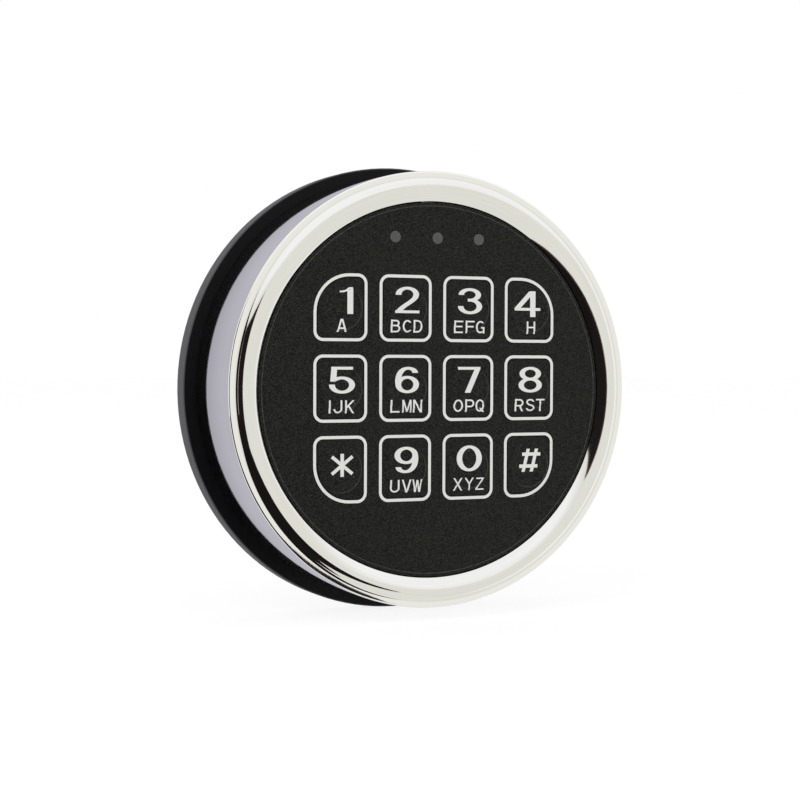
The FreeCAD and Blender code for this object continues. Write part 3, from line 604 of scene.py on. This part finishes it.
def smoked_window(sheet, place):
    cloud = sheet.noise(place, 1500.0)
    colour = sheet.mix(cloud, (0.070, 0.070, 0.068, 1.0), (0.105, 0.105, 0.100, 1.0))
    return {"Base Color": colour, "Roughness": 0.3 + cloud * 0.15, "Specular IOR Level": 0.3}


dress("light_windows", coat("smoked_window", smoked_window))

# Keys. Each is a field of the film, slightly domed, inside its printed outline. The numbers, signs
# and letters are screen printed on it in pale grey ink, so they lie over the dome and move with it.
# The lengths here are in millimetres, and a pen is its width across a level and an upright place.
KEY_PITCH_X = 16.0
KEY_PITCH_Z = 18.2
FIELD_SHIFT_X = 0.5
FIELD_SHIFT_Z = 0.43
PAINTED_GLINT_RADIUS = 5.2
KEY_ROWS = [["1", "2", "3", "4"], ["5", "6", "7", "8"], ["*", "9", "0", "#"]]
KEY_NODES = {"*": "key_star", "#": "key_hash"}
LETTERS = {"1": "A", "2": "BCD", "3": "EFG", "4": "H", "5": "IJK", "6": "LMN",
           "7": "OPQ", "8": "RST", "9": "UVW", "0": "XYZ"}
DOME_FOOT = 5.40
DOME_TOP = 5.05
DOME_HEIGHT = 0.20
INK_ABOVE = 0.025
INK_BELOW = 0.015
DIGIT_PEN = (1.42, 0.64)
LETTER_PEN = (0.42, 0.35)
FINE_PEN = (0.36, 0.31)
SIGN_PEN = (0.84, 0.80)
STAR_PEN = (0.76, 0.76)
DIGIT_PLACE = (0.28, 1.88)
STROKE_LIFT = 0.001


def bow(x, z, half_x, half_z, start_deg, end_deg):
    """Points on an ellipse, in degrees from +X towards +Z."""
    steps = max(6, round(abs(end_deg - start_deg) / 7))
    turns = [math.radians(start_deg + (end_deg - start_deg) * step / steps)
             for step in range(steps + 1)]
    return [(x + half_x * math.cos(turn), z + half_z * math.sin(turn)) for turn in turns]


def curve(*points):
    """Smooth line through points."""
    ends = [points[0], *points, points[-1]]
    line = []
    for index in range(1, len(ends) - 2):
        p0, p1, p2, p3 = ends[index - 1:index + 3]
        for step in range(8):
            t = step / 8
            line.append(tuple(
                0.5 * (2 * b + (c - a) * t + (2 * a - 5 * b + 4 * c - d) * t * t
                       + (3 * b - a - 3 * c + d) * t ** 3)
                for a, b, c, d in zip(p0, p1, p2, p3)))
    return line + [points[-1]]


SIX = [
    bow(0.08, -1.03, 2.24, 1.65, 0, 360),
    curve((-2.16, -1.1), (-2.22, 0.0), (-1.85, 1.4), (-0.85, 2.42), (0.5, 2.68), (1.65, 2.32),
          (2.1, 1.62)),
]
DIGITS = {
    "1": [
        [(1.97, -3.0), (1.97, 2.4)],
        ([(2.3, 2.2), (2.3, 3.0)], (0.72, 0.64)),
        (curve((-0.6, 1.98), (0.2, 2.02), (0.9, 2.2), (1.4, 2.5), (1.95, 2.95)), (0.62, 0.36)),
    ],
    "2": [
        bow(0.03, 1.28, 2.2, 1.40, 186, 0)
        + curve((2.16, 0.85), (1.75, 0.3), (0.7, -0.5), (-0.9, -1.5), (-2.2, -2.6))[1:],
        ([(-3.0, -2.68), (3.05, -2.68)], (0.7, 0.62)),
    ],
    "3": [
        bow(-0.07, 1.46, 2.2, 1.22, 182, -90) + [(-0.6, 0.24)],
        bow(0.0, -1.22, 2.42, 1.46, 90, -182),
    ],
    "4": [
        [(1.44, -3.03), (1.44, 3.0)],
        [(-3.4, -1.24), (3.46, -1.24)],
        [(-2.75, -1.1), (1.2, 2.95)],
    ],
    "5": [
        [(-2.5, 2.68), (2.75, 2.68)],
        [(-1.85, 2.9), (-2.12, -0.3)],
        curve((-2.0, -0.1), (-1.2, 0.32), (-0.3, 0.5))
        + bow(0.02, -1.09, 2.42, 1.59, 82, -184),
    ],
    "6": SIX,
    "7": [
        [(-2.93, 2.66), (2.9, 2.66)],
        [(2.25, 2.9), (-0.5, -3.0)],
    ],
    "8": [
        bow(0.0, 1.43, 2.17, 1.27, 0, 360),
        bow(0.0, -1.27, 2.42, 1.42, 0, 360),
    ],
    "9": [[(-x, -z) for x, z in stroke] for stroke in SIX],
    "0": [bow(0.0, 0.0, 2.55, 2.68, 0, 360)],
    "*": [
        ([(0.0, -2.58), (0.0, 2.58)], SIGN_PEN),
        ([(-2.5, -1.95), (2.5, 1.95)], STAR_PEN),
        ([(-2.5, 1.95), (2.5, -1.95)], STAR_PEN),
    ],
    "#": [
        ([(-1.78, -2.7), (-0.42, 2.7)], SIGN_PEN),
        ([(0.40, -2.7), (1.80, 2.7)], SIGN_PEN),
        ([(-2.05, 1.44), (2.83, 1.44)], SIGN_PEN),
        ([(-2.81, -1.37), (2.07, -1.37)], SIGN_PEN),
    ],
}
DIGIT_PLACES = {"1": (0.28, 1.50), "4": (-0.60, 1.48), "*": (0.40, 1.01), "#": (0.28, 1.10),
                "7": (0.24, 1.90)}
LETTER_STROKES = {
    "A": [[(-0.98, -1.46), (-0.10, 1.46)], [(0.98, -1.46), (0.10, 1.46)],
          [(-0.66, -0.62), (0.66, -0.62)]],
    "B": [[(-0.90, -1.46), (-0.90, 1.46)],
          [(-0.90, 1.24)] + bow(0.18, 0.68, 0.62, 0.56, 90, -90) + [(-0.90, 0.12)],
          [(-0.90, 0.12)] + bow(0.28, -0.56, 0.68, 0.68, 90, -90) + [(-0.90, -1.24)]],
    "C": [bow(0.05, 0.0, 0.98, 1.24, 42, 318)],
    "D": [[(-0.90, -1.46), (-0.90, 1.46)],
          [(-0.90, 1.24)] + bow(-0.08, 0.0, 1.04, 1.24, 90, -90) + [(-0.90, -1.24)]],
    "E": [[(-0.92, -1.46), (-0.92, 1.46)], [(-0.92, 1.25), (1.16, 1.25)],
          [(-0.92, 0.08), (0.95, 0.08)], [(-0.92, -1.25), (1.16, -1.25)]],
    "F": [[(-0.92, -1.46), (-0.92, 1.46)], [(-0.92, 1.25), (1.16, 1.25)],
          [(-0.92, 0.08), (0.92, 0.08)]],
    "G": [bow(0.0, 0.0, 0.96, 1.24, 48, 308), [(0.92, -0.06), (0.92, -1.46)],
          [(0.22, -0.14), (1.15, -0.14)]],
    "H": [[(-0.92, -1.46), (-0.92, 1.46)], [(0.92, -1.46), (0.92, 1.46)],
          [(-0.92, 0.06), (0.92, 0.06)]],
    "I": [[(0.0, -1.46), (0.0, 1.46)]],
    "J": [[(0.80, 1.46), (0.80, -0.40)] + bow(-0.06, -0.45, 0.86, 0.80, -4, -176)],
    "K": [[(-0.88, -1.46), (-0.88, 1.46)], [(0.90, 1.46), (-0.80, -0.25)],
          [(-0.32, 0.25), (0.95, -1.46)]],
    "L": [[(-0.92, -1.46), (-0.92, 1.46)], [(-0.92, -1.25), (1.16, -1.25)]],
    "M": [[(-0.97, -1.46), (-0.97, 1.46)], [(0.97, -1.46), (0.97, 1.46)],
          [(-0.88, 1.46), (0.0, -1.30)], [(0.88, 1.46), (0.0, -1.30)]],
    "N": [[(-0.95, -1.46), (-0.95, 1.46)], [(0.95, -1.46), (0.95, 1.46)],
          [(-0.88, 1.46), (0.88, -1.46)]],
    "O": [bow(0.0, 0.0, 0.98, 1.24, 0, 360)],
    "P": [[(-0.92, -1.46), (-0.92, 1.46)],
          [(-0.92, 1.24)] + bow(0.22, 0.52, 0.74, 0.72, 90, -90) + [(-0.92, -0.20)]],
    "Q": [bow(-0.03, 0.0, 0.95, 1.24, 0, 360), [(0.10, -0.55), (0.88, -1.50)]],
    "R": [[(-0.92, -1.46), (-0.92, 1.46)],
          [(-0.92, 1.24)] + bow(0.18, 0.55, 0.72, 0.69, 90, -90) + [(-0.92, -0.14)],
          [(0.10, -0.10), (0.90, -1.46)]],
    "S": [curve((0.88, 0.82), (0.50, 1.16), (-0.05, 1.24), (-0.66, 1.08), (-0.84, 0.62),
                (-0.45, 0.18), (0.15, -0.02), (0.74, -0.28), (0.92, -0.72), (0.55, -1.15),
                (-0.05, -1.24), (-0.66, -1.10), (-0.95, -0.74))],
    "T": [[(-1.14, 1.25), (1.14, 1.25)], [(0.0, -1.46), (0.0, 1.25)]],
    "U": [[(-0.94, 1.46), (-0.94, -0.40)] + bow(0.0, -0.48, 0.94, 0.76, 184, 356)
          + [(0.94, -0.40), (0.94, 1.46)]],
    "V": [[(-0.98, 1.46), (-0.04, -1.46)], [(0.98, 1.46), (0.04, -1.46)]],
    "W": [[(-1.06, 1.46), (-0.56, -1.46)], [(-0.50, -1.46), (-0.03, 1.30)],
          [(0.03, 1.30), (0.50, -1.46)], [(0.56, -1.46), (1.06, 1.46)]],
    "X": [[(-0.95, 1.46), (0.98, -1.46)], [(0.95, 1.46), (-0.98, -1.46)]],
    "Y": [[(-0.98, 1.46), (0.0, 0.05)], [(0.98, 1.46), (0.0, 0.05)], [(0.0, -1.46), (0.0, 0.12)]],
    "Z": [[(-0.88, 1.27), (1.02, 1.27)], [(0.90, 1.27), (-0.90, -1.27)],
          [(-1.02, -1.27), (1.10, -1.27)]],
}
LETTER_PLACES = {"": [], "A": [0.22], "H": [0.38], "IJK": [-2.62, -0.63, 2.17]}
THREE_LETTER_PLACES = [-2.62, 0.31, 3.02]
LETTER_Z = -4.08
STROKE_STEP = 0.16
STROKE_COLUMNS = 5


def spaced(points):
    """The same line with a point at least every stroke step."""
    line = [points[0]]
    for start, end in zip(points, points[1:]):
        parts = max(1, math.ceil(math.dist(start, end) / STROKE_STEP))
        line += [tuple(a + (b - a) * part / parts for a, b in zip(start, end))
                 for part in range(1, parts + 1)]
    return line


def stroke_rows(points, pen):
    """Cross rows of a pen stroke. Its ends are cut level or upright, a round pen's square."""
    line = spaced(points)
    closed = math.dist(line[0], line[-1]) < 1e-6
    rows = []
    for index, (x, z) in enumerate(line):
        before = line[index - 1] if index else (line[-2] if closed else line[0])
        after = line[index + 1] if index + 1 < len(line) else (line[1] if closed else line[-1])
        run = (after[0] - before[0]) / pen[0]
        climb = (after[1] - before[1]) / pen[1]
        length = math.hypot(run, climb)
        half_x = -climb / length * pen[0] / 2
        half_z = run / length * pen[1] / 2
        if not closed and pen[0] != pen[1] and index in (0, len(line) - 1):
            if abs(climb) > abs(run):
                half_x = -pen[0] / 2 * length / climb
                half_z = 0.0
            else:
                half_x = 0.0
                half_z = pen[1] / 2 * length / run
        rows.append([(x + half_x * share, z + half_z * share)
                     for share in [2 * column / STROKE_COLUMNS - 1
                                   for column in range(STROKE_COLUMNS + 1)]])
    return rows


def dome_rise(x, z):
    """Height of the key's front above the film at a place on the key."""
    away = math.hypot(x, z)
    return DOME_HEIGHT * min(1.0, max(0.0, (DOME_FOOT - away) / (DOME_FOOT - DOME_TOP)))


def print_stroke(points, faces, rows, key_x, key_z, lift):
    """Thin closed layer of ink for one stroke, laid over the key."""
    width = len(rows[0])
    for above in (INK_ABOVE + lift, -INK_BELOW):
        first = len(points)
        for row in rows:
            for x, z in row:
                depth = FACE_DEPTH * 1000 + dome_rise(x, z) + above
                points.append(((key_x + x) / 1000, -depth / 1000, (key_z + z) / 1000))
        for index in range(len(rows) - 1):
            for column in range(width - 1):
                corner = first + index * width + column
                faces.append((corner, corner + 1, corner + width + 1, corner + width))
    top = first - len(rows) * width
    last = (len(rows) - 1) * width
    is_loop = math.dist(rows[0][0], rows[-1][0]) < 1e-6
    for column in range(width - 1):
        for start in () if is_loop else (0, last):
            faces.append((top + start + column, top + start + column + 1,
                          first + start + column + 1, first + start + column))
    for index in range(len(rows) - 1):
        for side in (0, width - 1):
            here = index * width + side
            faces.append((top + here, top + here + width, first + here + width, first + here))


def pale_ink(sheet, place):
    grain = sheet.noise(place, 3000.0)
    colour = sheet.mix(grain, (0.75, 0.75, 0.72, 1.0), (0.86, 0.86, 0.83, 1.0))
    return {"Base Color": colour, "Roughness": 0.5 + grain * 0.1}


def domed_film(sheet, place):
    """Film of a key. A highlight is painted on it as a paler arc on the slope of its dome, strongest
    at the lower right.
    """
    sockets = grained_film(sheet, place)
    across = sheet.add("ShaderNodeSeparateXYZ", None, {0: place})
    from_left = across * 1000 - FIELD_SHIFT_X
    key_x = from_left.math("WRAP", KEY_PITCH_X, 0.0) - KEY_PITCH_X / 2
    from_middle = across.out("Z") * 1000 - FIELD_SHIFT_Z
    key_z = from_middle.math("WRAP", KEY_PITCH_Z / 2, -KEY_PITCH_Z / 2)
    away = (key_x * key_x + key_z * key_z).math("POWER", 0.5)
    # Painted highlight: a paler arc round each key's dome, strongest at the lower right.
    painted_glint = away.band(PAINTED_GLINT_RADIUS, 0.16, 0.10) * (key_x - key_z).rise(-2.0, 6.0)
    colour = sheet.mix(painted_glint * 0.5, sockets["Base Color"], (0.075, 0.075, 0.070, 1.0))
    return {**sockets, "Base Color": colour}


key_film = coat("domed_key_film", domed_film)
ink = coat("pale_ink", pale_ink)
for row_index, row in enumerate(KEY_ROWS):
    for column_index, sign in enumerate(row):
        key_x = FIELD_SHIFT_X + (column_index - 1.5) * KEY_PITCH_X
        key_z = FIELD_SHIFT_Z + (1 - row_index) * KEY_PITCH_Z
        body = KEY_NODES.get(sign, "key_" + sign)
        dress(body, key_film)
        strokes = []
        digit_x, digit_z = DIGIT_PLACES.get(sign, DIGIT_PLACE)
        for stroke in DIGITS[sign]:
            line, pen = stroke if isinstance(stroke, tuple) else (stroke, DIGIT_PEN)
            strokes.append(([(digit_x + x, digit_z + z) for x, z in line], pen))
        word = LETTERS.get(sign, "")
        for letter, letter_x in zip(word, LETTER_PLACES.get(word, THREE_LETTER_PLACES)):
            pen = FINE_PEN if letter in "MWXYZ" else LETTER_PEN
            for line in LETTER_STROKES[letter]:
                strokes.append(([(letter_x + x, LETTER_Z + z) for x, z in line], pen))
        points = []
        faces = []
        for order, (line, pen) in enumerate(strokes):
            print_stroke(points, faces, stroke_rows(line, pen), key_x, key_z, order * STROKE_LIFT)
        legend_mesh = bpy.data.meshes.new(body + "_legend")
        legend_mesh.from_pydata(points, [], faces)
        legend = finished(legend_mesh, ink)
        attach(legend, body)

# Outlines of the keys, screen printed in the same ink: a rounded rectangle round each key, with a
# wider corner where the field's own corner is. The line of ink follows each path.
KEY_WIDTH = 13.0
KEY_HEIGHT = 15.2
KEY_CORNER = 2.3
KEY_OUTER_CORNER = 8.75
OUTLINE_WIDTH = 0.68
OUTLINE_DEPTH = 0.04
OUTLINE_SUNK = 0.01
CORNER_STEPS = 12

centre_half_x = (KEY_WIDTH - OUTLINE_WIDTH) / 2
centre_half_z = (KEY_HEIGHT - OUTLINE_WIDTH) / 2
corners = []
sides = []
corner_radii = []
for row_index, row in enumerate(KEY_ROWS):
    for column_index in range(len(row)):
        key_x = FIELD_SHIFT_X + (column_index - 1.5) * KEY_PITCH_X
        key_z = FIELD_SHIFT_Z + (1 - row_index) * KEY_PITCH_Z
        first = len(corners)
        for side_x, side_z in ((-1, 1), (1, 1), (1, -1), (-1, -1)):
            corners.append(((key_x + side_x * centre_half_x) / 1000,
                            (key_z + side_z * centre_half_z) / 1000, 0.0))
            is_outer = (column_index - 1.5) * side_x == 1.5 and (1 - row_index) * side_z == 1
            radius = KEY_OUTER_CORNER if is_outer else KEY_CORNER
            corner_radii.append((radius - OUTLINE_WIDTH / 2) / 1000)
        sides += [(first + corner, first + (corner + 1) % 4) for corner in range(4)]
path_mesh = bpy.data.meshes.new("outline_paths")
path_mesh.from_pydata(corners, sides, [])
radius_of_corner = path_mesh.attributes.new("corner_radius", "FLOAT", "POINT")
radius_of_corner.data.foreach_set("value", corner_radii)
paths = bpy.data.objects.new("outline_paths", path_mesh)
bpy.context.scene.collection.objects.link(paths)

printing = bpy.data.node_groups.new("printed_outline", "GeometryNodeTree")
printing.interface.new_socket("Paths", in_out="INPUT", socket_type="NodeSocketGeometry")
line_width = printing.interface.new_socket(
    "Line width", in_out="INPUT", socket_type="NodeSocketFloat")
printing.interface.new_socket("Ink", in_out="OUTPUT", socket_type="NodeSocketGeometry")
page = Sheet(printing)
given = page.add("NodeGroupInput")
radius = page.add("GeometryNodeInputNamedAttribute", {"data_type": "FLOAT"},
                  {"Name": "corner_radius"})
path = page.add("GeometryNodeMeshToCurve", None, {0: given})
path = page.add("GeometryNodeFilletCurve", {"mode": "POLY"},
                {"Curve": path, "Count": CORNER_STEPS, "Radius": radius})
path = page.add("GeometryNodeSetCurveNormal", {"mode": "Z_UP"}, {0: path})
section = page.add("GeometryNodeCurvePrimitiveQuadrilateral", None,
                   {"Width": given.out("Line width"),
                    "Height": (OUTLINE_DEPTH + OUTLINE_SUNK) / 1000})
line = page.add("GeometryNodeCurveToMesh", None, {"Curve": path, "Profile Curve": section})
outline_middle = FACE_DEPTH + (OUTLINE_DEPTH - OUTLINE_SUNK) / 2000
line = page.add("GeometryNodeTransform", None, {
    "Geometry": line, "Translation": (0.0, -outline_middle, 0.0),
    "Rotation": (math.radians(90), 0.0, 0.0)})
line = page.add("GeometryNodeRealizeInstances", None, {0: line})
line = page.add("GeometryNodeSetMaterial", None, {"Geometry": line, "Material": ink})
page.add("NodeGroupOutput", None, {0: line})
step = paths.modifiers.new("printed_outline", "NODES")
step.node_group = printing
step[line_width.identifier] = OUTLINE_WIDTH / 1000
seen_paths = paths.evaluated_get(bpy.context.evaluated_depsgraph_get())
outline_mesh = bpy.data.meshes.new_from_object(seen_paths)
outline_mesh.name = "printed_key_outlines"
outline_mesh.materials.clear()
paths.modifiers.remove(step)
bpy.data.objects.remove(paths)
outlines = finished(outline_mesh, ink)
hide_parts("key_frames")
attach(outlines, "base")
